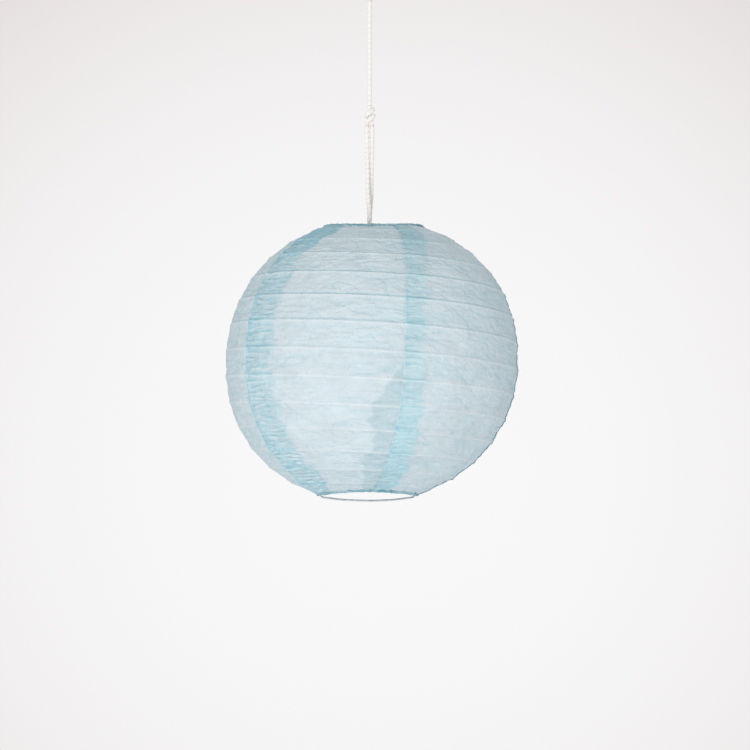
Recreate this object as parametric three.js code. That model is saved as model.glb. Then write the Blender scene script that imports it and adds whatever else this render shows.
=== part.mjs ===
// A round paper lantern on a twisted cotton cord that loops over a ceiling hook.
// Lengths are in millimetres and +Z is up. The origin is on the ceiling, in the middle of the pad.
import * as THREE from "three";

// Ceiling hook
const PAD_RADIUS = 15;
const PAD_THICKNESS = 1.6;
const BASE_RADIUS = 17;
const HOOK_WIRE_RADIUS = 1.5;
const HOOK_REACH = 9.5;
const HOOK_LOW_Z = -34.5;
const GAP = 0.3;

// Cord
const CORD_RADIUS = 2.4;
const CORD_BEND = 9.7;
const STRAND_OFFSET = 2.65;
const LOOP_GAP = 0.6;
const TOP_KNOT_TOP_Z = -58.3;
const TOP_KNOT_LOW_Z = -73.3;
const LOWER_KNOT_TOP_Z = -184.7;
const LOWER_KNOT_LOW_Z = -205.5;

// Shell, measured from its own centre
const CENTRE_Z = -451.3;
const SHELL_RADIUS = 150;
const SHELL_POWER = 2.15;
const TOP_HEIGHT = 136.3;
const LOW_HEIGHT = 134.5;
const TOP_SADDLE = 2.5;
const LOW_SADDLE = 2;
const PAPER_THICKNESS = 0.4;
const LAP_LIFT = 0.75;
const GORE_COUNT = 5;
const FIRST_SEAM_DEG = -58;
const LAP_DEG = 14.4;
const HEM_MARGIN_DEG = 1.6;

// Rings, hems and ribs
const RING_RADIUS = 51;
const RING_WIRE_RADIUS = 0.9;
const RING_PIECES = 40;
const HEM_INNER = 1.2;
const HEM_OUTER = 1.6;
const HEM_MOUTH_DEG = 35;
const RIB_WIRE_RADIUS = 0.65;
const RIB_INSET = 1.9;
const RIB_PITCH_DEG = 10.77;
const RIB_START_DEG = 209;
const RIB_TILT_DEG = 1.7;
const RIB_STEPS_PER_TURN = 24;

// Expander, measured from the shell's centre
const FRAME_WIRE_RADIUS = 0.9;
const LEG_X = 47;
const NOTCH_X = 51.6;
const NECK_X = 48;
const EYE_RADIUS = 7.5;
const EYE_TOP = 140.5;
const EYE_STAGGER = 1.3;
const BAR_LOW = -142.9;

const DEG = Math.PI / 180;
const point = (x, y, z) => new THREE.Vector3(x, y, z);
const part = new THREE.Group();
part.name = "paper_lantern";

function add(name, geometry, colour, z = 0) {
  const mesh = new THREE.Mesh(geometry, new THREE.MeshStandardMaterial({ color: colour }));
  mesh.name = name;
  mesh.position.z = z;
  part.add(mesh);
}

// A curve that is sampled exactly at its listed stations.
class StationCurve extends THREE.Curve {
  constructor(stations) {
    super();
    this.stations = stations;
  }

  getPointAt(u, target = new THREE.Vector3()) {
    return target.copy(this.stations[Math.round(u * (this.stations.length - 1))]);
  }

  getTangentAt(u, target = new THREE.Vector3()) {
    const last = this.stations.length - 1;
    const i = Math.round(u * last);
    const here = this.stations[i];
    target.set(0, 0, 0);
    if (i > 0) {
      target.add(here.clone().sub(this.stations[i - 1]).normalize());
    }
    if (i < last) {
      target.add(this.stations[i + 1].clone().sub(here).normalize());
    }
    return target.normalize();
  }
}

function circle(radius, sides) {
  const corners = [];
  for (let i = 0; i < sides; i++) {
    const angle = (2 * Math.PI * i) / sides;
    corners.push(new THREE.Vector2(radius * Math.cos(angle), radius * Math.sin(angle)));
  }
  return corners;
}

// A tube along stations. A bore radius makes it a sleeve.
function tube(stations, radius, sides, bore = 0) {
  const outline = new THREE.Shape(circle(radius, sides));
  if (bore > 0) {
    outline.holes.push(new THREE.Path(circle(bore, sides).reverse()));
  }
  return new THREE.ExtrudeGeometry(outline, {
    steps: stations.length - 1,
    extrudePath: new StationCurve(stations),
    bevelEnabled: false,
  });
}

// Stations along a wire with straight runs and rounded bends. Each corner states its own cut.
function bentWire(corners, pieces) {
  const stations = [corners[0].at];
  for (let i = 1; i < corners.length - 1; i++) {
    const { at, cut } = corners[i];
    const before = corners[i - 1].at.clone().sub(at).setLength(cut);
    const after = corners[i + 1].at.clone().sub(at).setLength(cut);
    const arc = new THREE.QuadraticBezierCurve3(at.clone().add(before), at, at.clone().add(after));
    stations.push(...arc.getPoints(pieces));
  }
  stations.push(corners[corners.length - 1].at);
  return stations;
}

// A solid turned about Z from [radius, height] pairs.
function turned(profile, segments) {
  const points = profile.map(([r, z]) => new THREE.Vector2(r, z));
  return new THREE.LatheGeometry(points, segments).rotateX(Math.PI / 2);
}

// How far the end rings spring out of flat: up at left and right on top, and down there below.
function saddle(angle, height) {
  const rise = height > 0 ? TOP_SADDLE : -LOW_SADDLE;
  const end = height > 0 ? TOP_HEIGHT : LOW_HEIGHT;
  return rise * Math.cos(2 * angle) * Math.min(Math.abs(height) / end, 1) ** 4;
}

function springOutOfFlat(geometry, height) {
  const corners = geometry.getAttribute("position");
  for (let i = 0; i < corners.count; i++) {
    const angle = Math.atan2(corners.getY(i), corners.getX(i));
    corners.setZ(i, corners.getZ(i) + height + saddle(angle, height));
  }
  return geometry;
}

// Latitude runs from 1 at the top ring, through 0 at the widest place, to -1 at the bottom ring.
const END_LATITUDE = Math.asin((1 - (RING_RADIUS / SHELL_RADIUS) ** SHELL_POWER) ** (1 / SHELL_POWER));

// A point of the shell, offset along the outward normal. Azimuth 0 faces -Y and grows towards +X.
function shellPoint(azimuth, latitude, offset) {
  const end = latitude > 0 ? TOP_HEIGHT : LOW_HEIGHT;
  const reach = end / Math.sin(END_LATITUDE);
  const share = Math.sin(latitude);
  const radius = SHELL_RADIUS * (1 - Math.abs(share) ** SHELL_POWER) ** (1 / SHELL_POWER);
  const outward = (radius / SHELL_RADIUS) ** (SHELL_POWER - 1) / SHELL_RADIUS;
  const upward = (Math.sign(share) * Math.abs(share) ** (SHELL_POWER - 1)) / reach;
  const length = Math.hypot(outward, upward);
  const r = radius + (offset * outward) / length;
  const height = reach * share;
  const z = height + (offset * upward) / length + saddle(azimuth - Math.PI / 2, height);
  return point(r * Math.sin(azimuth), -r * Math.cos(azimuth), z);
}

function makeCeilingHook() {
  const pad = new THREE.CylinderGeometry(PAD_RADIUS, PAD_RADIUS, PAD_THICKNESS, 32);
  pad.rotateX(Math.PI / 2);
  add("ceiling_pad", pad, 0xe8e6e0, -PAD_THICKNESS / 2);

  const top = -PAD_THICKNESS - GAP;
  const socket = HOOK_WIRE_RADIUS + 0.35;
  const base = turned(
    [
      [0, -5],
      [socket, -5],
      [socket, -10.5],
      [4, -10.5],
      [5, -9.2],
      [5.6, -7.4],
      [14.8, -6.8],
      [16.4, -5.6],
      [BASE_RADIUS, -4],
      [BASE_RADIUS, top],
      [0, top],
    ],
    32,
  );
  add("ceiling_hook_base", base, 0xf4f4f2);

  const bend = HOOK_REACH - 0.2;
  const wire = bentWire(
    [
      { at: point(0, 0, -5 - GAP) },
      { at: point(0, 0, -15), cut: 4 },
      { at: point(0, HOOK_REACH, -20), cut: 4 },
      { at: point(0, HOOK_REACH, HOOK_LOW_Z), cut: bend },
      { at: point(0, -HOOK_REACH, HOOK_LOW_Z), cut: bend },
      { at: point(0, -HOOK_REACH - 1, -20) },
    ],
    6,
  );
  add("ceiling_hook_wire", tube(wire, HOOK_WIRE_RADIUS, 8), 0xc9ccd0);
}

// A loop of cord: a half circle round a wire, and two strands that close up towards a knot.
// turn is how far the strands twist on the way, in radians. The half circle lies in the XZ plane
// when the loop hangs from its bend, and in the YZ plane when the strands have turned.
function loopStations(bendZ, knotZ, turn) {
  const side = Math.sign(knotZ - bendZ);
  const centreZ = bendZ + side * CORD_BEND;
  const strandSteps = 12;
  const bendSteps = 9;
  const strand = [];
  for (let i = 0; i < strandSteps; i++) {
    const share = i / strandSteps;
    const ease = share * share * (3 - 2 * share);
    const angle = turn * ease;
    const offset = STRAND_OFFSET + (CORD_BEND - STRAND_OFFSET) * Math.max(0, 2 * ease - 1) ** 1.5;
    const z = knotZ + (centreZ - knotZ) * share;
    strand.push(point(offset * Math.cos(angle), offset * Math.sin(angle), z));
  }
  const bend = [];
  for (let i = 0; i <= bendSteps; i++) {
    const angle = (Math.PI * i) / bendSteps;
    const offset = CORD_BEND * Math.cos(angle);
    const z = centreZ - side * CORD_BEND * Math.sin(angle);
    bend.push(point(offset * Math.cos(turn), offset * Math.sin(turn), z));
  }
  const mirrored = strand.map((p) => point(-p.x, -p.y, p.z)).reverse();
  return [...strand, ...bend, ...mirrored];
}

function knot(top, low, belly) {
  const height = top - low;
  return turned(
    [
      [0, low],
      [5.4, low],
      [belly - 0.4, low + 0.22 * height],
      [belly, low + 0.5 * height],
      [belly - 0.4, low + 0.78 * height],
      [5.4, top],
      [0, top],
    ],
    20,
  );
}

function makeCord() {
  const cotton = 0xece4d4;
  const hookCord = HOOK_LOW_Z + HOOK_WIRE_RADIUS + LOOP_GAP + CORD_RADIUS;
  const topLoop = loopStations(hookCord, TOP_KNOT_TOP_Z + GAP, 0);
  add("cord_top_loop", tube(topLoop, CORD_RADIUS, 10), cotton);
  add("cord_top_knot", knot(TOP_KNOT_TOP_Z, TOP_KNOT_LOW_Z, 7.4), cotton);

  const runTop = TOP_KNOT_LOW_Z - GAP;
  const runLow = LOWER_KNOT_TOP_Z + GAP;
  const run = new THREE.CapsuleGeometry(CORD_RADIUS, runTop - runLow - 2 * CORD_RADIUS, 3, 10);
  add("cord_run", run.rotateX(Math.PI / 2), cotton, (runTop + runLow) / 2);

  add("cord_lower_knot", knot(LOWER_KNOT_TOP_Z, LOWER_KNOT_LOW_Z, 7), cotton);
  const eyeCord = CENTRE_Z + EYE_TOP - FRAME_WIRE_RADIUS - LOOP_GAP - CORD_RADIUS;
  const lowerLoop = loopStations(eyeCord, LOWER_KNOT_LOW_Z - GAP, Math.PI / 2);
  add("cord_lower_loop", tube(lowerLoop, CORD_RADIUS, 10), cotton);
}

// Half of the frame's corners, from a leg's middle round a notch to the middle of an end.
function frameHalf(side) {
  const leg = (x, z, cut) => ({ at: point(side * x, 0, z), cut });
  const bottom = [
    leg(LEG_X, -123, 3),
    leg(NOTCH_X, -132.2, 2),
    leg(NECK_X, -135.4, 1.5),
    leg(NECK_X - 0.6, -139.2, 1.8),
    leg(24, -142.2, 8),
  ];
  const top = [
    leg(LEG_X, 125.3, 3),
    leg(NOTCH_X, 134.5, 2),
    leg(NECK_X, 137.7, 0.8),
    leg(NECK_X - 1.6, 139.7, 1),
    leg(NECK_X - 6, 139, 2),
    leg(31, 131, 5),
  ];
  return { bottom, top };
}

// One turn of wire, seen from the front as a circle that starts and ends at its lowest point.
function eyeTurn() {
  const corners = [];
  const steps = 20;
  for (let i = 0; i <= steps; i++) {
    const angle = (2 * Math.PI * i) / steps;
    const y = EYE_STAGGER * (1 - (2 * i) / steps);
    const z = EYE_TOP - EYE_RADIUS - EYE_RADIUS * Math.cos(angle);
    corners.push(point(-EYE_RADIUS * Math.sin(angle), y, z));
  }
  return corners;
}

function makeExpander() {
  const steel = 0xb9bec2;
  const left = frameHalf(-1);
  const right = frameHalf(1);
  const eyeLow = EYE_TOP - 2 * EYE_RADIUS;
  const middle = { at: point(0, 0, BAR_LOW), cut: 8 };
  const into = { at: point(14, EYE_STAGGER, eyeLow), cut: 5 };
  const out = { at: point(-14, -EYE_STAGGER, eyeLow), cut: 5 };
  const firstHalf = bentWire(
    [
      { at: point(-LEG_X, 0, -GAP) },
      ...left.bottom,
      middle,
      ...right.bottom.reverse(),
      ...right.top,
      into,
      { at: point(0.5, EYE_STAGGER, eyeLow) },
    ],
    4,
  );
  const secondHalf = bentWire(
    [{ at: point(-0.5, -EYE_STAGGER, eyeLow) }, out, ...left.top.reverse(), { at: point(-LEG_X, 0, GAP) }],
    4,
  );
  const wire = [...firstHalf.slice(0, -1), ...eyeTurn(), ...secondHalf.slice(1)];
  add("wire_expander", tube(wire, FRAME_WIRE_RADIUS, 6), steel, CENTRE_Z);

  const sleeve = [point(-LEG_X, 0, -8), point(-LEG_X, 0, 8)];
  add("expander_sleeve", tube(sleeve, 1.7, 10, 1.25), steel, CENTRE_Z);
}

// Paper folded round an end ring, open towards the shell.
function hemProfile(height) {
  const steps = 6;
  const mouth = Math.sign(height) * -22;
  const profile = [];
  const ringPoint = (radius, degrees) => [
    RING_RADIUS + radius * Math.cos(degrees * DEG),
    radius * Math.sin(degrees * DEG),
  ];
  const span = 360 - 2 * HEM_MOUTH_DEG;
  for (let i = 0; i <= steps; i++) {
    profile.push(ringPoint(HEM_OUTER, mouth + HEM_MOUTH_DEG + (span * i) / steps));
  }
  for (let i = steps; i >= 0; i--) {
    profile.push(ringPoint(HEM_INNER, mouth + HEM_MOUTH_DEG + (span * i) / steps));
  }
  profile.push(profile[0]);
  return profile;
}

function makeRings() {
  for (const [name, height] of [
    ["top", TOP_HEIGHT],
    ["bottom", -LOW_HEIGHT],
  ]) {
    const ring = new THREE.TorusGeometry(RING_RADIUS, RING_WIRE_RADIUS, 8, RING_PIECES);
    add(name + "_ring", springOutOfFlat(ring, height), 0x9aa3a6, CENTRE_Z);
    const hem = turned(hemProfile(height), RING_PIECES);
    add(name + "_hem", springOutOfFlat(hem, height), 0xb4cbd3, CENTRE_Z);
  }
}

// The ribs are one wire that winds down inside the paper, a little lower on the right.
function makeRibs() {
  const start = END_LATITUDE - 3.4 * DEG;
  const turns = (2 * start) / (RIB_PITCH_DEG * DEG);
  const steps = Math.round(turns * RIB_STEPS_PER_TURN);
  const stations = [];
  for (let i = 0; i <= steps; i++) {
    const share = i / steps;
    const azimuth = RIB_START_DEG * DEG + share * turns * 2 * Math.PI;
    const evenLatitude = start * (1 - 2 * share);
    const tilt = RIB_TILT_DEG * DEG * Math.cos(evenLatitude) * Math.sin(azimuth);
    stations.push(shellPoint(azimuth, evenLatitude - tilt, -RIB_INSET));
  }
  add("rib_spiral", tube(stations, RIB_WIRE_RADIUS, 6), 0x8f9ba0, CENTRE_Z);
}

// One gore of paper. Its left edge lies over the right edge of the gore before it.
function gore(index) {
  const columns = 12;
  const rows = 18;
  const sheet = new THREE.BoxGeometry(1, 1, 1, columns, rows, 1);
  const corners = sheet.getAttribute("position");
  const start = FIRST_SEAM_DEG + (360 / GORE_COUNT) * index;
  const width = 360 / GORE_COUNT + LAP_DEG;
  const reach = END_LATITUDE - HEM_MARGIN_DEG * DEG;
  for (let i = 0; i < corners.count; i++) {
    const degrees = (corners.getX(i) + 0.5) * width;
    const lift = LAP_LIFT * (1 - THREE.MathUtils.smoothstep(degrees, LAP_DEG, LAP_DEG + 10));
    const offset = lift + (corners.getZ(i) + 0.5) * PAPER_THICKNESS;
    const place = shellPoint((start + degrees) * DEG, 2 * corners.getY(i) * reach, offset);
    corners.setXYZ(i, place.x, place.y, place.z);
  }
  return sheet;
}

makeCeilingHook();
makeCord();
makeExpander();
makeRings();
makeRibs();
for (let i = 0; i < GORE_COUNT; i++) {
  add("paper_gore_" + (i + 1), gore(i), 0xc6d8df, CENTRE_Z);
}

export default part;
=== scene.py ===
"""A round paper lantern on a knotted cotton cord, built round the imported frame, in metres."""
import math

import bpy
import numpy as np
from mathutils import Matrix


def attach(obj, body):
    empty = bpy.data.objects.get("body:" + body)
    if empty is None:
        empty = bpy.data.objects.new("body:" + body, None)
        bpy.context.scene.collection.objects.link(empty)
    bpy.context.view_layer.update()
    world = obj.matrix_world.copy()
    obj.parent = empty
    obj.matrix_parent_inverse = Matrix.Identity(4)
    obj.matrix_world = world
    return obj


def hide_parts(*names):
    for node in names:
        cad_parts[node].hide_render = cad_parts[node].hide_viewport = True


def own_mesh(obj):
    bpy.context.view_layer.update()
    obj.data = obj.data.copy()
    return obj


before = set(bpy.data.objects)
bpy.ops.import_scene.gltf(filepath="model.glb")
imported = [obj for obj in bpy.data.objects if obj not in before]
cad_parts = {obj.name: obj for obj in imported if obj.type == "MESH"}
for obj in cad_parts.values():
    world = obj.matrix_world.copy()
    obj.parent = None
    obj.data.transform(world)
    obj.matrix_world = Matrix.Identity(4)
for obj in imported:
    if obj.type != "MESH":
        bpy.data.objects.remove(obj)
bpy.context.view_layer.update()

MM = 0.001
DEG = math.pi / 180

# Studio, in metres
CAMERA_PLACE = (0.0056, -1.78, -0.5883)
CAMERA_TILT = 3.96 * DEG
CAMERA_LENS = 83.2
FLOOR_Z = -2.4
FLOOR_RADIUS = 9

# Shell, in millimetres from its own centre
CENTRE = np.array([0.0, 0.0, -451.3])
SHELL_RADIUS = 150.0
SHELL_POWER = 2.15
TOP_HEIGHT = 136.3
LOW_HEIGHT = 134.5
TOP_SADDLE = 2.5
LOW_SADDLE = 2.0
RING_RADIUS = 51.0
RING_WIRE_RADIUS = 0.9
RIB_WIRE_RADIUS = 0.5
HEM_RADIUS = 1.5
END_LATITUDE = math.asin((1 - (RING_RADIUS / SHELL_RADIUS) ** SHELL_POWER) ** (1 / SHELL_POWER))
ARC = 146.0  # paper for each radian of latitude
PLEAT_PITCH = 6.1
LEAN = 3.0
LEAN_MIDDLE = 1.0
BELLY_SHIFT = 1.2

# Gores, with seams and laps in degrees of azimuth at the middle height
GORES = 5
FIRST_SEAM = -55.5
SECOND_SEAM = 67.7  # from the first
SEAM_STEP = 73.1  # between the rest
LAP_WIDTHS = (15.5, 8.6, 12.0, 14.0, 10.0)
LAP_PUCKER = (1.0, 0.55, 0.75, 0.85, 0.65)  # from 0, flat, to 1
LAP_DEEPENS = (0.05, 0.55, 0.2, 0.3, 0.1)  # more of the double paper's colour, low on the shell

# Rib spiral
RIB_PITCH = 10.77 * DEG
RIB_START = 209 * DEG
RIB_TILT = 1.7 * DEG
RIB_END = END_LATITUDE - 3.4 * DEG

# Wire expander, with its right side's corners as (x, z, bend)
WIRE_RADIUS = 0.9
LEG_X = 47.0
LEG_STRAIGHT = (-120, 103)  # the legs run straight between these heights
LEG_BEND = 22  # and lean over to the top ring within this height above them
EYE_TOP = 140.5
EYE_RADIUS = 7.5
EYE_STAGGER = 1.3  # between the eye's crossing ends and the middle plane
LOW_CORNERS = ((47, -123, 3), (51.6, -132.2, 2), (48, -135.4, 1.5), (47.4, -139.2, 1.8), (24, -142.2, 8))
TOP_CORNERS = (
    (47, 125.3, 3), (51.6, 134.5, 2), (48, 137.7, 0.8), (46.4, 139.7, 1), (42, 139, 2), (31, 131, 5))

# Cord, in millimetres from the ceiling
HOOK_BEND_Z = -34.5
HOOK_WIRE_RADIUS = 1.5
CORD_DIAMETER = 4.8
CORD_GAP = 0.6
CORD_BEND = 9.7
UPPER_KNOT = (-58.2, -73.4)
LOWER_KNOT = (-184.6, -205.7)
KNOT_TURNS = 1.5
KNOT_GAP = 0.2  # from a knot to the cord's single run
STRAND_OFFSET = 2.65
STRAND_LAY = 16.5
STEP = 0.9  # between the rings of a rope's mesh


# ---------------------------------------------------------------- camera, light and floor

def node(tree, kind, links=None, **settings):
    """A new shader node. links gives each input a value, or another node's output."""
    made = tree.nodes.new(kind)
    for name, value in settings.items():
        setattr(made, name, value)
    for socket, value in (links or {}).items():
        if isinstance(value, bpy.types.NodeSocket):
            tree.links.new(value, made.inputs[socket])
        else:
            made.inputs[socket].default_value = value
    return made


def math_node(tree, operation, first, second):
    return node(tree, "ShaderNodeMath", {0: first, 1: second}, operation=operation).outputs[0]


def ramp(tree, factor, *stops):
    """A colour ramp through (position, colour) stops."""
    made = node(tree, "ShaderNodeValToRGB", {"Fac": factor})
    elements = made.color_ramp.elements
    while len(elements) < len(stops):
        elements.new(0.5)
    for element, (position, colour) in zip(elements, stops):
        element.position = position
        element.color = (*colour, 1)
    return made.outputs["Color"]


def blended(tree, share, first, second, kind="MIX"):
    """Two colours mixed by a share."""
    made = node(tree, "ShaderNodeMix", {0: share, 6: first, 7: second}, data_type="RGBA", blend_type=kind)
    return made.outputs[2]


def grey(value):
    return (value, value, value)


def put(obj):
    bpy.context.scene.collection.objects.link(obj)
    return obj


def make_camera():
    data = bpy.data.cameras.new("camera")
    data.lens = CAMERA_LENS
    data.sensor_width = 36
    camera = put(bpy.data.objects.new("camera", data))
    camera.location = CAMERA_PLACE
    camera.rotation_euler = (90 * DEG + CAMERA_TILT, 0, 0)
    bpy.context.scene.camera = camera


def make_light():
    """A pale studio, darker at its edges and overhead, a soft light low in front and a weak one above."""
    world = bpy.data.worlds.new("studio")
    bpy.context.scene.world = world
    world.use_nodes = True
    tree = world.node_tree
    tree.nodes.clear()
    ray = node(tree, "ShaderNodeTexCoord").outputs["Generated"]
    part = node(tree, "ShaderNodeSeparateXYZ", {0: ray})
    aside = math_node(tree, "MULTIPLY", math_node(tree, "POWER", part.outputs["X"], 2.0), 7.8)
    raised = math_node(tree, "SUBTRACT", part.outputs["Z"], 0.017)
    above = math_node(tree, "MULTIPLY", math_node(tree, "MULTIPLY", raised, raised), 8.7)
    edge = math_node(tree, "POWER", math_node(tree, "ADD", aside, above), 1.3)
    share = math_node(tree, "MULTIPLY", edge, 0.25)
    wall = ramp(
        tree, share, (0.0, (0.945, 0.94, 0.945)), (0.25, (0.765, 0.72, 0.715)), (1.0, (0.755, 0.795, 0.82)))
    overhead = ramp(tree, part.outputs["Z"], (0.45, grey(1.0)), (0.9, grey(0.86)))
    back = node(tree, "ShaderNodeBackground", {"Color": blended(tree, 1.0, wall, overhead, "MULTIPLY")})
    node(tree, "ShaderNodeOutputWorld", {"Surface": back.outputs[0]})

    for name, energy, place, tip, turn in (
        ("front", 19.5, (-0.25, -2.0, -1.05), 106.5, -7),
        ("fill", 5.0, (-0.7, -1.8, 0.1), 78, -21),
    ):
        lamp = bpy.data.lights.new(name, "AREA")
        lamp.energy = energy
        lamp.size = 1.0
        lamp.color = (1.0, 0.995, 0.985)
        soft = put(bpy.data.objects.new(name, lamp))
        soft.location = place
        soft.rotation_euler = (tip * DEG, 0, turn * DEG)
    bpy.context.scene.view_settings.view_transform = "Standard"


def make_floor():
    mesh = bpy.data.meshes.new("floor")
    turn = 2 * math.pi * np.arange(128) / 128
    rim = np.stack([FLOOR_RADIUS * np.cos(turn), FLOOR_RADIUS * np.sin(turn), np.full(128, FLOOR_Z)], 1)
    mesh.from_pydata(rim.tolist(), [], [list(range(128))])
    floor = put(bpy.data.objects.new("floor", mesh))
    made = bpy.data.materials.new("floor")
    made.use_nodes = True
    shader = made.node_tree.nodes["Principled BSDF"]
    shader.inputs["Base Color"].default_value = (0.86, 0.87, 0.88, 1)
    shader.inputs["Roughness"].default_value = 0.8
    shader.inputs["Emission Color"].default_value = (0.9, 0.95, 1.0, 1)
    shader.inputs["Emission Strength"].default_value = 0.2
    mesh.materials.append(made)


# ---------------------------------------------------------------- shapes

def new_mesh(name, points, faces, uv=None):
    """A smooth mesh from points in millimetres. uv gives one pair for each corner of each face."""
    mesh = bpy.data.meshes.new(name)
    mesh.from_pydata((np.reshape(points, (-1, 3)) * MM).tolist(), [], faces)
    if uv is not None:
        mesh.uv_layers.new(name="surface").data.foreach_set("uv", uv.ravel())
    mesh.shade_smooth()
    return put(bpy.data.objects.new(name, mesh))


def grid_faces(rows, columns, wrap=False):
    """Quads over a grid whose columns may close on themselves."""
    across = columns if wrap else columns - 1
    i, j = np.meshgrid(np.arange(rows - 1), np.arange(across), indexing="ij")
    k = (j + 1) % columns
    quads = np.stack([i * columns + j, i * columns + k, (i + 1) * columns + k, (i + 1) * columns + j], -1)
    return quads.reshape(-1, 4)


def distances(path):
    """How far along its path each point lies."""
    return np.concatenate([[0], np.cumsum(np.linalg.norm(np.diff(path, axis=0), axis=1))])


def resample(path, step):
    """The path again, with points about one step apart."""
    along = distances(path)
    wanted = np.linspace(0, along[-1], max(int(round(along[-1] / step)), 2) + 1)
    return np.stack([np.interp(wanted, along, path[:, axis]) for axis in range(3)], 1)


def carried_across(tangent):
    """A direction across each tangent that turns no more than the path does."""
    across = np.cross(tangent[0], (0.31, 0.22, 0.93) if abs(tangent[0][2]) < 0.8 else (0.9, 0.3, 0.2))
    carried = np.empty_like(tangent)
    for i, forward in enumerate(tangent):
        across = across - forward * across.dot(forward)
        across = across / np.linalg.norm(across)
        carried[i] = across
    return carried


def sweep(name, path, section, lay=None, closed=False):
    """A section, as offsets from the path, carried along it. lay is the length of one full twist."""
    count, sides = len(path), len(section)
    tangent = np.roll(path, -1, 0) - np.roll(path, 1, 0) if closed else np.gradient(path, axis=0)
    tangent /= np.linalg.norm(tangent, axis=1)[:, None]
    normals = carried_across(tangent)
    along = distances(path)
    roll = np.zeros(count) if lay is None else 2 * math.pi * along / lay
    if closed:
        last = normals[-1] - tangent[0] * normals[-1].dot(tangent[0])
        slip = math.atan2(np.cross(last, normals[0]).dot(tangent[0]), last.dot(normals[0]))
        roll = roll + slip * np.arange(count) / count
    across = np.cross(tangent, normals)
    cos, sin = np.cos(roll)[:, None], np.sin(roll)[:, None]
    u = normals * cos + across * sin
    v = across * cos - normals * sin
    points = path[:, None] + section[:, 0, None] * u[:, None] + section[:, 1, None] * v[:, None]

    faces = grid_faces(count + 1 if closed else count, sides, wrap=True)
    column = np.arange(sides)
    around = np.stack([column, column + 1, column + 1, column], 1) / sides
    length = np.append(along, along[-1] + np.linalg.norm(path[0] - path[-1]))
    rows = count if closed else count - 1
    up = np.stack([length[:rows], length[:rows], length[1:rows + 1], length[1:rows + 1]], 1) * MM
    uv = np.stack(np.broadcast_arrays(around[None], up[:, None]), -1).reshape(-1, 2)
    if closed:
        return new_mesh(name, points, (faces % (count * sides)).tolist(), uv)
    ends = [list(range(sides))[::-1], [(count - 1) * sides + j for j in range(sides)]]
    return new_mesh(name, points, faces.tolist() + ends, np.concatenate([uv, np.zeros((2 * sides, 2))]))


def round_section(radius, sides=12):
    angle = 2 * math.pi * np.arange(sides) / sides
    return np.stack([np.cos(angle), np.sin(angle)], 1) * radius


def rope_section(diameter, strands=3, sides=24):
    """The outline of strands laid together, with a groove between each two."""
    reach = diameter / 2
    strand = 0.62 * reach
    offset = reach - strand
    angle = 2 * math.pi * np.arange(sides) / sides
    lobe = (angle + math.pi / strands) % (2 * math.pi / strands) - math.pi / strands
    radius = offset * np.cos(lobe) + np.sqrt(strand**2 - (offset * np.sin(lobe)) ** 2)
    return np.stack([np.cos(angle) * radius, np.sin(angle) * radius], 1)


def bent_wire(corners, pieces=8):
    """Points along straight runs with rounded bends. A corner is (point, cut)."""
    places = [np.array(corner[0], float) for corner in corners]
    points = [places[0]]
    for i in range(1, len(places) - 1):
        here, cut = places[i], corners[i][1]
        before = places[i - 1] - here
        after = places[i + 1] - here
        start = here + before * cut / np.linalg.norm(before)
        end = here + after * cut / np.linalg.norm(after)
        for t in np.linspace(0, 1, pieces + 1):
            points.append(start * (1 - t) ** 2 + here * 2 * t * (1 - t) + end * t**2)
    points.append(places[-1])
    return np.array(points)


def turned(name, profile, segments=64):
    """A solid turned about the Z axis from (radius, height) pairs that start and end on the axis."""
    angle = 2 * math.pi * np.arange(segments) / segments
    rim = np.stack([np.cos(angle), np.sin(angle)], 1)
    rows = [np.column_stack([rim * r, np.full(segments, z)]) for r, z in profile[1:-1]]
    points = np.concatenate(rows + [[[0, 0, profile[0][1]]], [[0, 0, profile[-1][1]]]])
    count = len(rows) * segments
    faces = grid_faces(len(rows), segments, wrap=True).tolist()
    last = (len(rows) - 1) * segments
    for j in range(segments):
        k = (j + 1) % segments
        faces.append([count, k, j])
        faces.append([count + 1, last + j, last + k])
    return new_mesh(name, points, faces)


def noise(points, cell, seed):
    """Smooth noise from -1 to 1. Its bumps are about one cell across."""
    table = np.random.default_rng(seed).uniform(-1, 1, (32, 32, 32))
    scaled = points / cell
    base = np.floor(scaled).astype(int)
    part = scaled - base
    part = part * part * (3 - 2 * part)
    total = 0
    for corner in np.ndindex(2, 2, 2):
        weight = np.prod(np.where(corner, part, 1 - part), axis=-1)
        index = (base + corner) % 32
        total = total + weight * table[index[..., 0], index[..., 1], index[..., 2]]
    return total


# ---------------------------------------------------------------- the shell's form

def saddle(azimuth, height):
    rise = np.where(height > 0, TOP_SADDLE, -LOW_SADDLE)
    end = np.where(height > 0, TOP_HEIGHT, LOW_HEIGHT)
    return -rise * np.cos(2 * azimuth) * np.minimum(np.abs(height) / end, 1) ** 4


def lean(height):
    """The shell hangs a little out of true: its top is to the right and its bottom to the left."""
    return LEAN_MIDDLE + LEAN * height / TOP_HEIGHT


def shell_point(azimuth, latitude, offset):
    """Points of the shell, offset outwards. Azimuth 0 faces -Y and grows towards +X."""
    reach = np.where(latitude > 0, TOP_HEIGHT, LOW_HEIGHT) / math.sin(END_LATITUDE)
    share = np.sin(latitude)
    radius = SHELL_RADIUS * (1 - np.abs(share) ** SHELL_POWER) ** (1 / SHELL_POWER)
    outward = (radius / SHELL_RADIUS) ** (SHELL_POWER - 1) / SHELL_RADIUS
    upward = np.sign(share) * np.abs(share) ** (SHELL_POWER - 1) / reach
    length = np.hypot(outward, upward)
    r = radius + offset * outward / length
    height = reach * share
    z = height + offset * upward / length + saddle(azimuth, height)
    x = r * np.sin(azimuth) + lean(height) + BELLY_SHIFT * (1 - (share / math.sin(END_LATITUDE)) ** 2)
    return np.stack(np.broadcast_arrays(x, -r * np.cos(azimuth), z), -1) + CENTRE


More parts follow.
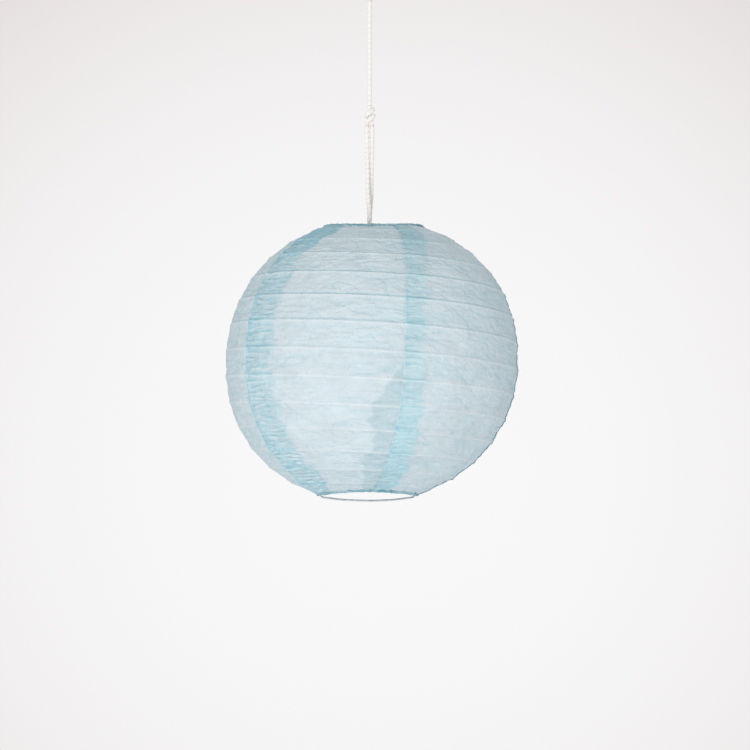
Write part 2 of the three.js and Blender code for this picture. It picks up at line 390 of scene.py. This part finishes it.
def rib_turns(azimuth, latitude):
    """How many turns of rib wire lie above a point. It is whole on the wire."""
    even = latitude + RIB_TILT * np.cos(latitude) * np.sin(azimuth)
    return (RIB_END - even) / RIB_PITCH - (azimuth - RIB_START) / (2 * math.pi)


def seam(index, latitude):
    """Azimuth of a gore's outer left edge. None of them runs quite true."""
    above = np.maximum(latitude, 0) / DEG / 63
    below = np.maximum(-latitude, 0) / DEG / 69
    lean_out = (
        -4.0 * above**2 - 1.5 * below**2 - 14.0 * np.maximum(below - 0.8, 0) / 0.2,
        7.8 * above**2.2 - 4.6 * below**1.8,
        2.0 * above - 3.0 * below**2,
        3.0 * above**2 + 2.0 * below,
        -2.5 * above + 2.0 * below**2,
    )[index % GORES]
    from_first = SECOND_SEAM + SEAM_STEP * (index - 1) if index else 0
    return (FIRST_SEAM + from_first + lean_out) * DEG


def surface_place(azimuth, latitude):
    """Where a point lies, for noise, in millimetres on a plain drum."""
    return np.stack(np.broadcast_arrays(130 * np.sin(azimuth), -130 * np.cos(azimuth), ARC * latitude), -1)


def seam_place(latitude, across):
    """Where a point lies along a seam, for noise, in millimetres."""
    return np.stack(np.broadcast_arrays(latitude * ARC, across, 0.0), -1)


def below_rib(azimuth, latitude):
    """Millimetres down to a point from the rib above it, and from the rib below it as a negative."""
    part = rib_turns(azimuth, latitude) % 1
    return part, np.where(part < 0.5, part, part - 1) * RIB_PITCH * ARC


def lap_width(index, latitude):
    """How far the gore before reaches under this one. Its edge puckers between the ribs that hold it."""
    base = LAP_WIDTHS[index % GORES] / np.maximum(np.cos(latitude), 0.5)
    down = below_rib(seam(index, latitude) + 8 * DEG, latitude)[1]
    place = seam_place(latitude, 40.0 * index)
    band = np.floor(rib_turns(seam(index, latitude), latitude))
    stepped = noise(np.stack(np.broadcast_arrays(band, index * 1.0, 0.5), -1), 0.61, 4)
    torn = 0.8 * noise(place, 24.0, 5) + 1.5 * noise(place, 9.0, 6) + 0.9 * noise(place, 3.6, 7)
    uneven = 2.2 * stepped + torn
    return (base + uneven + 2.4 * np.exp(-np.abs(down) / 2.0)) * DEG


def grey_patch(azimuth, latitude):
    """1 where a greyer patch lies on the first panel, low down and left of the second seam."""
    place = seam_place(latitude, 7.0)
    grown = np.clip((-3 * DEG - latitude) / (24 * DEG), 0, 1) ** 0.8
    reach = (11.0 * grown + 2.6 * noise(place, 17.0, 8) + 2.0 * noise(place, 6.0, 9)) * DEG
    into = seam(1, latitude) - azimuth
    started = np.clip((-4 * DEG - latitude) / (2.5 * DEG), 0, 1)
    return np.clip(into / (0.2 * DEG), 0, 1) * np.clip((reach - into) / (0.8 * DEG), 0, 1) * started


def beyond_seam(index, azimuth, latitude):
    """Azimuth from a seam to a point, negative to the seam's left."""
    return (azimuth - seam(index, latitude) + math.pi) % (2 * math.pi) - math.pi


def in_lap(azimuth, latitude):
    """1 where paper lies double, with how strongly it puckers there and how much painted shade it gets along
    its edge and just above each rib.
    """
    double = np.zeros(np.broadcast(azimuth, latitude).shape)
    pucker = np.zeros_like(double)
    drawn = np.zeros_like(double)
    down = below_rib(azimuth, latitude)[1]
    dotted = np.clip(0.6 + 1.0 * noise(surface_place(azimuth, latitude), 3.4, 39), 0, 1.3)
    for index, strength in enumerate(LAP_PUCKER):
        width = lap_width(index, latitude)
        into = beyond_seam(index, azimuth, latitude)
        inside = np.clip(into / (0.3 * DEG), 0, 1) * np.clip((width - into) / (1.4 * DEG), 0, 1)
        double = np.maximum(double, inside)
        reach = np.clip((into + 1.5 * DEG) / (3 * DEG), 0, 1)
        reach = reach * np.clip((width + 1 * DEG - into) / (4 * DEG), 0, 1)
        pucker = np.maximum(pucker, strength * reach)
        along = np.clip(into / (1 * DEG), 0, 1) * np.clip(1.4 - into / width, 0, 1)
        # Painted shade: a dark line just above each rib inside a lap.
        drawn = np.maximum(drawn, along * np.exp(-(((down + 1.1) / 0.9) ** 2)))
        # Painted shade: darker near the lap's outer edge in broken dots, and a dark line right along that
        # edge.
        drawn = np.maximum(drawn, strength * inside * dotted * np.exp(-into / (2.6 * DEG)))
        rim = np.exp(-(((into / DEG - 0.5) / 0.6) ** 2)) * (into > 0)
        drawn = np.maximum(drawn, 1.7 * strength * dotted * rim)
    return double, pucker, drawn


def crease(place, cell, seed, sharpness=0.16):
    """Thin lines where noise crosses zero: 1 on a line, 0 away from it."""
    return np.exp(-np.abs(noise(place, cell, seed)) / sharpness)


def wrinkles(place, wandering, near_seam):
    """Creases of crushed tissue: long slanted ones, short crossed ones, and level ones off the seams."""
    slanted = place * (0.6, 0.6, 1.0)
    slanted = slanted + np.stack([slanted[..., 2] * 0.5, slanted[..., 2] * 0.3, slanted[..., 0] * 0.5], -1)
    drawn = wandering * (0.17, 0.17, 1.2)
    return (
        0.60 * crease(slanted, 15.0, 21, 0.06)
        + 0.27 * crease(slanted[..., ::-1], 8.0, 22, 0.11)
        + (0.55 + 0.5 * near_seam) * crease(drawn, 6.0, 23, 0.15)
        + 0.10 * crease(place, 3.6, 27, 0.3)
    )


def pleats(place, wandering):
    """Short level folds across a lap: how deep they are, the painted shade in their valleys and creases, and
    a painted highlight beside each valley.
    """
    row = place[..., 2] / PLEAT_PITCH + 0.55 * noise(place * (0.5, 0.5, 0.8), 9.0, 37)
    broken = np.clip(0.5 + 1.1 * noise(place * (0.7, 0.7, 1.0), 6.0, 33), 0, 1.2)
    valley = np.exp(-np.abs(row % 1 - 0.5) * PLEAT_PITCH / 0.62) * broken
    # Painted highlight: a light line beside each pleat's valley.
    painted_highlight = 2.1 * broken * np.exp(-np.abs((row + 0.2) % 1 - 0.5) * PLEAT_PITCH / 0.6)
    depth = 1.1 * valley + 0.5 * crease(wandering * (0.35, 0.35, 1.0), 3.8, 32, 0.2)
    depth = depth + 0.35 * noise(wandering * (0.3, 0.3, 1.0), 3.0, 34)
    level = crease(wandering * (0.15, 0.15, 1.0), 4.2, 31, 0.12)
    # Painted shade: darker in each pleat's valley and along crease lines.
    pleat_shade = valley + 0.5 * level + 0.3 * crease(place, 5.0, 38, 0.14)
    return depth, pleat_shade * (0.85 + 0.5 * noise(place * (0.6, 0.6, 1.0), 7.0, 36)), painted_highlight


def relief(azimuth, latitude):
    """How far the paper stands off the smooth shell, with its double share, its painted shade and darker
    tone, and its painted highlight.
    """
    part, down = below_rib(azimuth, latitude)
    away = np.abs(down)
    ribbed = np.clip((END_LATITUDE - 1.5 * DEG - np.abs(latitude)) / (3 * DEG), 0, 1)
    place = surface_place(azimuth, latitude)
    slack = 0.5 + 0.5 * noise(place, 45.0, 11)
    upper = np.clip((latitude + 4 * DEG) / (24 * DEG), 0, 1)
    panel = -(0.5 + 0.45 * slack) * (4 * part * (1 - part)) ** 0.8
    tuck = -0.5 * upper * np.exp(-(((down + 2.4) / 1.2) ** 2))
    ridge = 0.34 * np.exp(-((away / 0.95) ** 2))
    quiet = 0.3 + 0.7 * np.clip((away - 0.6) / 3.0, 0, 1)

    double, pucker, lap_shade = in_lap(azimuth, latitude)
    near_seam = 0
    for index in range(GORES):
        aside = np.abs(beyond_seam(index, azimuth, latitude))
        near_seam = np.maximum(near_seam, np.clip(1 - aside / (30 * DEG), 0, 1))
    wandering = place + 2.6 * noise(place, 14.0, 28)[..., None] * (0, 0, 1)
    depth, pleat_shade, painted_highlight = pleats(place, wandering)
    folded = wrinkles(place, wandering, near_seam) * quiet * (1 - 0.5 * pucker)
    puckered = pucker * depth * quiet
    rough = 0.42 * noise(place * (0.6, 0.6, 1.1), 7.0, 25) + 0.26 * noise(place * (0.6, 0.6, 1.0), 3.2, 26)
    gathers = 0.16 * noise(place * (1.0, 1.0, 0.15), 3.2, 24) * np.exp(-((away / 6.0) ** 2))
    height = ribbed * (panel + tuck + ridge) - 1.05 * folded + rough * quiet + gathers - 1.4 * puckered
    height = np.maximum(height, 0.2 - 1.2 * away * ribbed - 4 * (1 - ribbed))

    # Painted shade: a dark line just above each rib in the upper half.
    shade = 0.55 * upper * ribbed * np.exp(-(((down + 1.7) / 0.8) ** 2))
    # Laps get darker high and low on the shell.
    high = np.clip((latitude - 36 * DEG) / (20 * DEG), 0, 1)
    high = high + 0.5 * np.clip((-latitude - 48 * DEG) / (15 * DEG), 0, 1)
    # Painted shade in the laps: pleat valleys and creases, the lap edges and just above the ribs, plus the
    # darker tone high and low.
    lap_tone_and_shade = pucker * pleat_shade * 0.85 + lap_shade * (0.42 + 0.6 * pleat_shade) + 0.45 * pucker * high
    # Painted shade over the whole gore: wrinkle and pleat creases, the line above each rib, and the laps'
    # shade.
    shade_and_tone = np.clip(0.22 * folded + 0.2 * puckered + shade + np.clip(lap_tone_and_shade, 0, 1) * double, 0, 1)
    # Painted highlight along the pleats. It also lightens the lap colour and the painted shade where it
    # falls.
    painted_highlight = painted_highlight * pucker * double
    # Painted highlight: a light line just below each rib, plus the pleats' highlight.
    line = np.clip(ribbed * np.exp(-(((down - 0.3) / 0.8) ** 2)) + 0.9 * painted_highlight, 0, 1)
    lit = np.clip(painted_highlight, 0, 1)
    return height, double * (1 - 0.7 * lit), shade_and_tone * (1 - 0.8 * lit), line


# ---------------------------------------------------------------- pieces

def ride(obj, body, slot, *nodes):
    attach(obj, body)
    if nodes:
        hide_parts(*nodes)
    return obj


def paint(obj, made):
    obj.data.materials.clear()
    obj.data.materials.append(made)


def tint(obj, name, values):
    """A share for each point, which the paper's material reads by name."""
    layer = obj.data.attributes.new(name, "FLOAT", "POINT")
    layer.data.foreach_set("value", values.astype(np.float32).ravel())


def loop_path(bend_z, knot_z, turn):
    """A half circle of cord round a wire, with two strands that close up towards a knot."""
    side = math.copysign(1, knot_z - bend_z)
    centre_z = bend_z + side * CORD_BEND
    share = np.linspace(0, 1, 37)[:-1]
    ease = share * share * (3 - 2 * share)
    angle = turn * ease
    offset = STRAND_OFFSET + (CORD_BEND - STRAND_OFFSET) * np.maximum(0, 2 * ease - 1) ** 1.5
    down = knot_z + (centre_z - knot_z) * share
    strand = np.stack([offset * np.cos(angle), offset * np.sin(angle), down], 1)
    angle = np.linspace(0, math.pi, 28)
    reach = CORD_BEND * np.cos(angle)
    bottom = centre_z - side * CORD_BEND * np.sin(angle)
    bend = np.stack([reach * math.cos(turn), reach * math.sin(turn), bottom], 1)
    return np.concatenate([strand, bend, strand[::-1] * (-1, -1, 1)])


def smoothed(corners, pieces=14, rounds=30):
    """A soft curve near its corners that keeps its two ends."""
    corners = np.array(corners, float)
    place = np.linspace(0, len(corners) - 1, (len(corners) - 1) * pieces + 1)
    path = np.stack([np.interp(place, np.arange(len(corners)), corners[:, axis]) for axis in range(3)], 1)
    for _ in range(rounds):
        path[1:-1] = (path[:-2] + 2 * path[1:-1] + path[2:]) / 4
    return path


def knot_paths(top, low, wide, turns, aside):
    """The strands of a knot: one comes up and wraps the other, and both end in the single cord above."""
    height = top - low
    wraps = []
    for share in np.linspace(0, 1, int(turns * 8) + 1):
        angle = math.pi + share * turns * 2 * math.pi
        z = low + height * (0.27 + 0.46 * share + 0.09 * math.cos(angle))
        side = aside * (1 - share)
        wraps.append((wide * math.cos(angle) + side, 0.8 * wide * math.sin(angle), z))
    around = [(-STRAND_OFFSET, 0, low), (-STRAND_OFFSET - 0.4, 0.4, low + 0.12 * height), *wraps]
    around += [(-0.6, 1.2, top - 0.12 * height), (0, 0.2, top + 0.3)]
    through = [(STRAND_OFFSET, 0, low), (1.6, 0.3, low + 0.25 * height)]
    through += [(0.4, 0, low + 0.6 * height), (0.2, -0.3, top)]
    return smoothed(around, 8, 14), smoothed(through)


def joined(name, parts):
    """Several objects as one."""
    with bpy.context.temp_override(active_object=parts[0], selected_editable_objects=parts):
        bpy.ops.object.join()
    parts[0].name = name
    return parts[0]


def make_cords(cotton):
    section = rope_section(CORD_DIAMETER)
    clear = CORD_GAP + CORD_DIAMETER / 2
    top = loop_path(HOOK_BEND_Z + HOOK_WIRE_RADIUS + clear, UPPER_KNOT[0] + KNOT_GAP, 0)
    low = loop_path(CENTRE[2] + EYE_TOP - WIRE_RADIUS - clear, LOWER_KNOT[1] - KNOT_GAP / 2, math.pi / 2)
    run = np.zeros((32, 3))
    run[:, 2] = np.linspace(UPPER_KNOT[1] - KNOT_GAP, LOWER_KNOT[0] + KNOT_GAP, 32)
    for name, path, body, nodes in (
        ("cotton_run", run, "cord", ("cord_run",)),
        ("cotton_top_loop", top, "top_loop", ("cord_top_loop",)),
        ("cotton_lower_loop", low, "lower_loop", ("cord_lower_loop",)),
    ):
        obj = sweep(name, resample(path, STEP), section, STRAND_LAY)
        paint(obj, cotton)
        ride(obj, body, "cotton", *nodes)
    for name, ends, wide, aside, body in (
        ("cotton_top_knot", UPPER_KNOT, 3.4, 0.0, "top_loop"),
        ("cotton_lower_knot", LOWER_KNOT, 3.9, 1.2, "lower_loop"),
    ):
        strands = []
        for path in knot_paths(*ends, wide, KNOT_TURNS, aside):
            if body == "top_loop":
                path = (path - (0, 0, sum(ends))) * (1, 1, -1)  # upside down, over its own middle
            strands.append(sweep(name, resample(path, STEP), section, STRAND_LAY))
        obj = joined(name, strands)
        paint(obj, cotton)
        ride(obj, body, "cotton", name.replace("cotton", "cord"))


def make_hook(plastic, foam, steel):
    pad = turned("hook_pad", [(0, 0), (14.7, 0), (15, -0.25), (15, -1.35), (14.7, -1.6), (0, -1.6)])
    paint(pad, foam)
    ride(pad, "ceiling_hook", "pad_foam", "ceiling_pad")
    base = turned("hook_base", [
        (0, -1.9), (16.5, -1.9), (17, -2.3), (17, -3.9), (16.8, -4.8), (16.2, -5.7), (15.2, -6.4),
        (13.8, -6.8), (8, -7.1), (6.2, -7.4), (5.4, -8.1), (5.0, -9.2), (4.6, -10.1), (4.0, -10.5),
        (1.9, -10.5), (1.8, -10.2), (1.8, -5.0), (0, -5.0)])
    paint(base, plastic)
    ride(base, "ceiling_hook", "hook_plastic", "ceiling_hook_base")
    wire = bent_wire([
        ((0, 0, -5.3), 0), ((0, 0, -15), 4), ((0, 9.5, -20), 4), ((0, 9.5, HOOK_BEND_Z), 9.3),
        ((0, -9.5, HOOK_BEND_Z), 9.3), ((0, -10.5, -20), 0)], 12)
    hook = sweep("hook_wire", wire, round_section(HOOK_WIRE_RADIUS, 16))
    paint(hook, steel)
    ride(hook, "ceiling_hook", "hook_steel", "ceiling_hook_wire")


def frame_corners(side, corners):
    return [((side * x, 0, z), cut) for x, z, cut in corners]


def leg_lean(height):
    """The legs stand straight above the bottom ring, so it clears them, and bend over below the top ring."""
    share = np.clip((height - LEG_STRAIGHT[1]) / LEG_BEND, 0, 1)
    low = lean(-LOW_HEIGHT)
    straightened = low + (lean(TOP_HEIGHT) - low) * share * share * (3 - 2 * share)
    return np.where(height > LEG_STRAIGHT[0], straightened, lean(height))


def make_expander(steel):
    eye_low = EYE_TOP - 2 * EYE_RADIUS
    first = bent_wire([
        ((-LEG_X, 0, -0.3), 0), *frame_corners(-1, LOW_CORNERS), ((0, 0, -142.9), 8),
        *frame_corners(1, LOW_CORNERS[::-1]), *frame_corners(1, TOP_CORNERS),
        ((14, EYE_STAGGER, eye_low), 5), ((0.5, EYE_STAGGER, eye_low), 0)])
    second = bent_wire([
        ((-0.5, -EYE_STAGGER, eye_low), 0), ((-14, -EYE_STAGGER, eye_low), 5),
        *frame_corners(-1, TOP_CORNERS[::-1]),
        ((-LEG_X, 0, 0.3), 0)])
    angle = np.linspace(0, 2 * math.pi, 49)
    across, up = EYE_RADIUS * np.sin(angle), EYE_RADIUS * (1 - np.cos(angle))
    eye = np.stack([-across, EYE_STAGGER * (1 - angle / math.pi), eye_low + up], 1)
    path = resample(np.concatenate([first[:-1], eye, second[1:]]), 1.2)
    path[:, 0] += leg_lean(path[:, 2]) * np.minimum(np.abs(path[:, 0]) / LEG_X, 1)
    path = path + CENTRE
    wire = sweep("expander_wire", path, round_section(WIRE_RADIUS, 12))
    paint(wire, steel)
    ride(wire, "lantern", "frame_steel", "wire_expander")

    height = np.linspace(-8, 8, 33)
    squeeze = 0.22 * np.exp(-((np.abs(height) - 4.2) / 1.1) ** 2)
    outer = [(1.7 - s - 0.15 * (abs(z) > 7.6), z) for z, s in zip(height, squeeze)]
    sleeve = turned("expander_joint", [(0, -8), (1.0, -8), *outer, (1.0, 8), (0, 8)], 32)
    for corner in sleeve.data.vertices:
        corner.co.x += (lean(-LOW_HEIGHT) - LEG_X) * MM
        corner.co.z += CENTRE[2] * MM
    paint(sleeve, steel)
    ride(sleeve, "lantern", "frame_steel", "expander_sleeve")


def make_ribs(steel):
    turns = 2 * RIB_END / RIB_PITCH
    share = np.linspace(0, 1, int(turns * 96))
    azimuth = RIB_START + share * turns * 2 * math.pi
    even = RIB_END * (1 - 2 * share)
    path = shell_point(azimuth, even - RIB_TILT * np.cos(even) * np.sin(azimuth), -0.85)
    ribs = sweep("rib_wire", path, round_section(RIB_WIRE_RADIUS, 6))
    paint(ribs, steel)
    ride(ribs, "lantern", "ring_steel", "rib_spiral")
    return ribs


def make_gore(index, paper):
    rows, columns = 384, 248
    latitude = np.linspace(END_LATITUDE, -END_LATITUDE, rows)[:, None]
    share = np.linspace(0, 1, columns)[None]
    frayed = 0.25 * DEG * noise(seam_place(latitude, 0.0), 5.0, 40 + index)
    start = seam(index, latitude) + frayed
    end = seam(index + 1, latitude) + lap_width(index + 1, latitude)
    end = np.where(end < start, end + 2 * math.pi, end)
    azimuth = start + (end - start) * share
    into = azimuth - seam(index, latitude)
    under = lap_width(index, latitude)
    lift = 0.55 * (1 - np.clip((into - under) / (7 * DEG), 0, 1) ** 0.7)
    ruffled = 0.35 + 0.65 * np.abs(noise(surface_place(azimuth, latitude), 3.0, 61))
    lift = lift + 0.9 * np.exp(-into / (1.4 * DEG)) * ruffled
    height, double, shade_and_tone, line = relief(azimuth, latitude)
    points = shell_point(azimuth, latitude, lift + height)
    obj = new_mesh("gore_%d" % (index + 1), points, grid_faces(rows, columns)[:, ::-1].tolist())
    deeper = LAP_DEEPENS[index] * np.clip(-latitude / (40 * DEG), 0, 1)
    over = double * (into < 40 * DEG) * (0.42 + deeper)  # its far lap lies under the next gore
    patch_grey = grey_patch(azimuth, latitude) if index == 0 else over * 0
    # Tints the paper reads: the double paper's colour, a greyer patch on the first gore, painted shade with
    # some darker tone, and a painted highlight.
    for name, values in (("layers", over), ("patch_grey", patch_grey), ("shade_and_tone", shade_and_tone), ("line", line)):
        tint(obj, name, values)
    paint(obj, paper)
    ride(obj, "lantern", "paper", "paper_gore_%d" % (index + 1))
    return obj


def rim_path(height, count):
    """The line of an end ring, bent to its saddle."""
    azimuth = 2 * math.pi * np.arange(count) / count
    z = height + saddle(azimuth, np.full(count, height))
    across = RING_RADIUS * np.sin(azimuth) + lean(height)
    return np.stack([across, -RING_RADIUS * np.cos(azimuth), z], 1) + CENTRE


def make_hem(name, height, paper):
    """Paper wrapped round an end ring, crumpled where the gores are folded over it."""
    sides = 14
    path = rim_path(height, 260)
    obj = sweep(name, path, round_section(HEM_RADIUS, sides), closed=True)
    points = np.array([corner.co for corner in obj.data.vertices]) / MM
    centre = np.repeat(path, sides, 0)
    out = (points - centre) / HEM_RADIUS
    crumple = 0.35 * noise(points, 3.2, 51) + 0.25 * noise(points, 1.6, 52)
    folds = 1.1 * np.clip(noise(centre, 9.0, 53) - 0.25, 0, 1) * (out[:, 2] * math.copysign(1, height) < 0.4)
    points = centre + out * (1.45 + crumple + folds)[:, None]
    obj.data.vertices.foreach_set("co", (points * MM).ravel())
    # Darker tone at random along the hem, with painted shade in its crease lines.
    deep = 0.35 + 1.1 * noise(centre, 13.0, 54) + 0.8 * crease(points * (0.5, 0.5, 1.0), 3.0, 55)
    tint(obj, "shade_and_tone", np.clip(deep, 0, 1))
    paint(obj, paper)
    return obj


def make_ring(name, height, steel):
    ring = sweep(name, rim_path(height, 160), round_section(RING_WIRE_RADIUS, 10), closed=True)
    paint(ring, steel)
    return ring


# ---------------------------------------------------------------- materials

def new_material(name):
    made = bpy.data.materials.new(name)
    made.use_nodes = True
    tree = made.node_tree
    return made, tree, tree.nodes["Principled BSDF"]


def bump(tree, shader, height, strength, distance):
    made = node(tree, "ShaderNodeBump", {"Height": height, "Strength": strength, "Distance": distance})
    tree.links.new(made.outputs["Normal"], shader.inputs["Normal"])
    return made.outputs["Normal"]


def speckle(tree, scale, detail=4.0, roughness=0.6):
    """Noise over the object's own space. Scale is in bumps per metre."""
    place = node(tree, "ShaderNodeTexCoord").outputs["Object"]
    settings = {"Vector": place, "Scale": scale, "Detail": detail, "Roughness": roughness}
    return node(tree, "ShaderNodeTexNoise", settings).outputs["Fac"]


def attribute(tree, name):
    return node(tree, "ShaderNodeAttribute", attribute_name=name).outputs["Fac"]


def crumpled(tree):
    """Fine crushed facets with sharp edges, a few millimetres across and wider than tall."""
    place = node(tree, "ShaderNodeTexCoord").outputs["Object"]
    wander = node(tree, "ShaderNodeTexNoise", {"Vector": place, "Scale": 90.0, "Detail": 3.0})
    ten_mm = {0: wander.outputs["Color"], 1: grey(0.010)}
    shifted = node(tree, "ShaderNodeVectorMath", ten_mm, operation="MULTIPLY")
    moved = node(tree, "ShaderNodeVectorMath", {0: place, 1: shifted.outputs[0]}, operation="ADD").outputs[0]
    flat = node(tree, "ShaderNodeMapping", {"Vector": moved, "Scale": (0.6, 0.6, 1.15)}).outputs[0]
    large = node(tree, "ShaderNodeTexVoronoi", {"Vector": flat, "Scale": 150.0}, feature="DISTANCE_TO_EDGE")
    small = node(tree, "ShaderNodeTexVoronoi", {"Vector": flat, "Scale": 420.0}, feature="DISTANCE_TO_EDGE")
    fine = math_node(tree, "MULTIPLY", small.outputs["Distance"], 0.5)
    facets = math_node(tree, "ADD", large.outputs["Distance"], fine)
    return math_node(tree, "ADD", facets, math_node(tree, "MULTIPLY", speckle(tree, 520.0, 6.0, 0.65), 0.35))


def paper_material(name, panel, lap, fold_shade):
    """Thin tissue coloured with dye: cloudy fibres, deeper colour where it lies double, painted shade in its
    folds and creases, a painted highlight on ribs and pleats, a greyer patch, and light through it.
    """
    made, tree, shader = new_material(name)
    lap_tone_and_shade = blended(tree, attribute(tree, "layers"), (*panel, 1), (*lap, 1))
    # Painted shade: deeper, bluer colour where the shade tint is high.
    folded = blended(tree, attribute(tree, "shade_and_tone"), lap_tone_and_shade, (*fold_shade, 1))
    # A greyer patch on the first gore.
    greyed = blended(tree, attribute(tree, "patch_grey"), grey(1.0) + (1,), (0.84, 0.90, 0.91, 1))
    # Painted highlight: lighter where the highlight tint is set, on ribs and pleats.
    highlighted = blended(tree, attribute(tree, "line"), greyed, (1.13, 1.11, 1.09, 1))
    clouds = ramp(tree, speckle(tree, 42.0), (0.30, grey(0.94)), (0.70, grey(1.04)))
    fibres = ramp(tree, speckle(tree, 900.0, 6.0, 0.7), (0.30, grey(0.94)), (0.70, grey(1.05)))
    both = blended(tree, 1.0, blended(tree, 1.0, clouds, fibres, "MULTIPLY"), highlighted, "MULTIPLY")
    colour = blended(tree, 1.0, folded, both, "MULTIPLY")
    tree.links.new(colour, shader.inputs["Base Color"])
    shader.inputs["Roughness"].default_value = 0.62
    shader.inputs["Specular IOR Level"].default_value = 0.25
    normal = bump(tree, shader, crumpled(tree), 0.8, 0.0014)
    deeper = blended(tree, 1.0, colour, (0.86, 1.0, 1.03, 1), "MULTIPLY")
    through = node(tree, "ShaderNodeBsdfTranslucent", {"Color": deeper, "Normal": normal})
    mixed = node(tree, "ShaderNodeMixShader", {0: 0.30, 1: shader.outputs[0], 2: through.outputs[0]})
    tree.links.new(mixed.outputs[0], tree.nodes["Material Output"].inputs["Surface"])
    return made


def cotton_material():
    """Soft cream yarn. Fine plies run slanted round each strand."""
    made, tree, shader = new_material("cotton")
    place = node(tree, "ShaderNodeTexCoord").outputs["UV"]
    slanting = {"Vector": place, "Scale": (9.0, 620.0, 1.0), "Rotation": (0, 0, 0.5)}
    slant = node(tree, "ShaderNodeMapping", slanting)
    plies = node(tree, "ShaderNodeTexWave", {"Vector": slant.outputs[0], "Scale": 0.8, "Distortion": 1.5})
    fuzz = speckle(tree, 2600.0, 5.0, 0.7)
    colour = ramp(tree, plies.outputs["Fac"], (0.0, (0.78, 0.725, 0.675)), (0.6, (0.84, 0.79, 0.745)))
    tree.links.new(colour, shader.inputs["Base Color"])
    bump(tree, shader, math_node(tree, "ADD", plies.outputs["Fac"], fuzz), 0.2, 0.0002)
    shader.inputs["Roughness"].default_value = 0.9
    shader.inputs["Sheen Weight"].default_value = 0.35
    shader.inputs["Sheen Roughness"].default_value = 0.5
    return made


def steel_material(name, dark, light, roughness):
    """Drawn wire with a fine grain and dull patches."""
    made, tree, shader = new_material(name)
    colour = ramp(tree, speckle(tree, 160.0), (0.35, dark), (0.65, light))
    tree.links.new(colour, shader.inputs["Base Color"])
    dull = ramp(tree, speckle(tree, 700.0), (0.3, grey(roughness - 0.08)), (0.7, grey(roughness + 0.1)))
    tree.links.new(dull, shader.inputs["Roughness"])
    bump(tree, shader, speckle(tree, 3000.0), 0.15, 0.0001)
    shader.inputs["Metallic"].default_value = 0.85
    return made


def soft_material(name, dark, light, scale, roughness, depth):
    """Moulded plastic or foam with a fine grain."""
    made, tree, shader = new_material(name)
    colour = ramp(tree, speckle(tree, 60.0), (0.3, dark), (0.7, light))
    tree.links.new(colour, shader.inputs["Base Color"])
    bump(tree, shader, speckle(tree, scale), 0.3, depth)
    shader.inputs["Roughness"].default_value = roughness
    return made


# ---------------------------------------------------------------- the object

make_camera()
make_cords(cotton_material())
make_light()
make_floor()

bright_steel = steel_material("bright_steel", (0.60, 0.61, 0.62), (0.74, 0.75, 0.76), 0.3)
dull_steel = steel_material("dull_steel", (0.30, 0.35, 0.36), (0.46, 0.51, 0.52), 0.5)
# The last colour of each is the painted shade colour for creases, folds and the lines above the ribs.
paper = paper_material("tissue", (0.725, 0.772, 0.795), (0.60, 0.765, 0.80), (0.32, 0.61, 0.69))
hem_paper = paper_material("hem_tissue", (0.42, 0.61, 0.66), (0.42, 0.61, 0.66), (0.20, 0.43, 0.50))

make_hook(
    soft_material("hook_plastic", (0.84, 0.84, 0.82), (0.88, 0.88, 0.86), 1500.0, 0.4, 0.0001),
    soft_material("hook_foam", (0.62, 0.61, 0.58), (0.70, 0.69, 0.66), 2500.0, 0.9, 0.0004),
    bright_steel,
)
make_expander(dull_steel)
ribs = make_ribs(dull_steel)
gores = [make_gore(index, paper) for index in range(GORES)]
for end, height, body in (("top", TOP_HEIGHT, "lantern"), ("bottom", -LOW_HEIGHT, "bottom_end")):
    ride(make_ring(end + "_ring_wire", height, dull_steel), body, "ring_steel", end + "_ring")
    ride(make_hem(end + "_hem_paper", height, hem_paper), body, "paper", end + "_hem")

for piece in [ribs, *gores]:
    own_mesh(piece)
